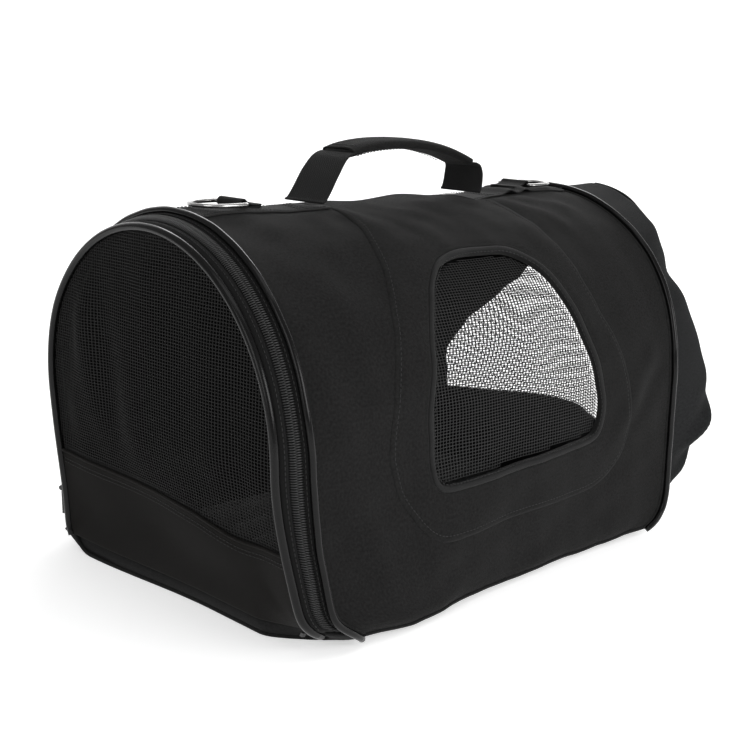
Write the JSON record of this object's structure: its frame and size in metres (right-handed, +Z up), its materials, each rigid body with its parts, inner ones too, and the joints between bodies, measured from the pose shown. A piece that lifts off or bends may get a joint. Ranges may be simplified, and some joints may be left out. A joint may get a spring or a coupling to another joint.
{
  "type": "pet carrier bag",
  "caption": "Soft pet carrier: arched fabric tunnel on a stiff base, zipped net door, net side window, soft end with net, webbing handle.",
  "frame": {"origin": "centre of the underside of the base", "axes": "+X from the door to the soft end, +Y to the far side, +Z up"},
  "size_m": [0.4855, 0.3074, 0.3268],
  "materials": {
    "body_cloth": "matte coated weave",
    "base_cloth": "matte coated weave",
    "board": "matte",
    "mat_cloth": "brushed",
    "panel_cloth": "matte coated weave",
    "mesh": "open net",
    "binding": "ribbed tape",
    "piping": "glossy vinyl",
    "wire": "bare wire",
    "zip_tape": "woven tape",
    "zip_coil": "nylon coil",
    "zip_metal": "black lacquer",
    "end_cloth": "matte coated weave",
    "webbing": "ribbed webbing",
    "nickel": "nickel plate",
    "door_cloth": "matte coated weave",
    "sleeve": "matte coated weave"
  },
  "bodies": {
    "carrier": {"body_shell": "body_cloth", "base_panel": "base_cloth", "base_board": "board", "floor_mat": "mat_cloth", "saddle_panel": "panel_cloth", "window_mesh_near": "mesh", "window_binding_near": "binding", "front_piping": "piping", "rear_piping": "piping", "front_hoop_wire": "wire", "rear_hoop_wire": "wire", "door_sill": "base_cloth", "zip_tape_body": "zip_tape", "zip_coil_body": "zip_coil", "zip_stops": "zip_metal", "soft_end": "end_cloth", "end_net": "mesh", "ridge_strap_front": "webbing", "ridge_strap_rear": "webbing", "d_ring_loop_front": "webbing", "d_ring_loop_rear": "webbing"},
    "door": {"door_piping": "piping", "door_hoop_wire": "wire", "door_lower_panel": "door_cloth", "door_mesh": "mesh", "door_seam_tape": "binding", "zip_coil_door": "zip_coil", "zip_tape_door": "zip_tape"},
    "slider": {"zip_slider": "zip_metal"},
    "pull": {"zip_pull": "zip_metal"},
    "ring_front": {"d_ring_front": "nickel"},
    "ring_rear": {"d_ring_rear": "nickel"},
    "leg_front": {"handle_leg_front": "webbing"},
    "grip": {"handle_grip_sleeve": "sleeve", "handle_grip_core": "webbing"},
    "leg_rear": {"handle_leg_rear": "webbing"}
  },
  "joints": [
    {"name": "door_hinge", "type": "hinge", "parent": "carrier", "child": "door", "pos_m": [-0.2101, 0, 0.014], "axis": [0, -1, 0], "range_deg": [0, 88]},
    {"name": "zip_slide", "type": "slide", "parent": "carrier", "child": "slider", "axis": [-0.0181, 0, 0.9998], "range_m": [0, 0.076]},
    {"name": "zip_pull_hinge", "type": "hinge", "parent": "slider", "child": "pull", "pos_m": [-0.20778, 0.15085, 0.046], "axis": [0.8772, 0.4798, 0.0159], "range_deg": [0, 150]},
    {"name": "d_ring_front_hinge", "type": "hinge", "parent": "carrier", "child": "ring_front", "pos_m": [-0.152, 0, 0.2835], "axis": [0, 1, 0], "range_deg": [0, 170]},
    {"name": "d_ring_rear_hinge", "type": "hinge", "parent": "carrier", "child": "ring_rear", "pos_m": [0.152, 0, 0.2835], "axis": [0, -1, 0], "range_deg": [0, 170]},
    {"name": "handle_fold", "type": "hinge", "parent": "carrier", "child": "leg_front", "pos_m": [-0.084, 0, 0.2807], "axis": [0, 1, 0], "range_deg": [-6, 36]},
    {"name": "grip_fold", "type": "hinge", "parent": "leg_front", "child": "grip", "pos_m": [-0.054, 0, 0.316], "axis": [0, 1, 0], "range_deg": [-43.6, 7.3]},
    {"name": "rear_leg_fold", "type": "hinge", "parent": "carrier", "child": "leg_rear", "pos_m": [0.084, 0, 0.2807], "axis": [0, 1, 0], "range_deg": [-7.5, 45]}
  ],
  "couplings": [
    {"joint": "grip_fold", "follows": "handle_fold", "ratio": -1.21},
    {"joint": "rear_leg_fold", "follows": "handle_fold", "ratio": 1.25}
  ]
}
